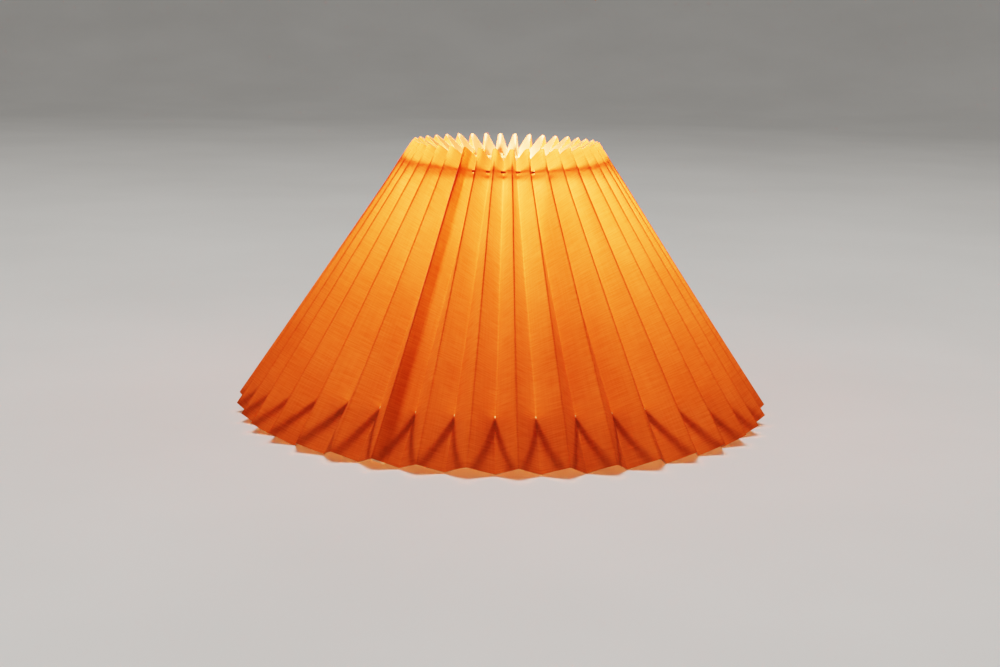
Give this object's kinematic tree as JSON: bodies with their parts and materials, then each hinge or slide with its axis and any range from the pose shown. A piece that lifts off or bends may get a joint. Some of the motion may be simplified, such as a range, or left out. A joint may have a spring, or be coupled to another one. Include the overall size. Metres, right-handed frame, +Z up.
{
  "type": "pleated lamp shade",
  "caption": "Conical accordion-pleated fabric lamp shade gathered by a cord on a wire frame, with a dropped fitter ring that tilts.",
  "frame": {"origin": "on the shade's axis, at the level of the low points of the hem, on which it stands", "axes": "+Z up along the shade's axis, -Y towards the front, +X to the right"},
  "size_m": [0.4006, 0.4, 0.2043],
  "materials": {
    "shade_laminate": "linen-look weave laminated on white film",
    "seam_tape": "thin double-sided bonding tape",
    "cord": "dark twisted cord",
    "frame_wire": "white powder coat",
    "pin_steel": "plated",
    "fitter_paint": "white powder coat, worn bright at the bore"
  },
  "bodies": {
    "shade": {"pleated_shade": "shade_laminate", "seam_tape": "seam_tape", "gathering_cord": "cord", "top_ring": "frame_wire", "hem_ring": "frame_wire", "arm_right_front": "frame_wire", "arm_right_back": "frame_wire", "arm_left": "frame_wire", "pivot_ring": "frame_wire", "tilt_pins": "pin_steel", "spring_washers": "pin_steel"},
    "fitter": {"fitter_ring": "fitter_paint"}
  },
  "joints": [
    {"name": "tilt", "type": "hinge", "parent": "shade", "child": "fitter", "pos_m": [0, 0, 0.065], "axis": [0, 1, 0], "range_deg": [-15, 15]}
  ]
}
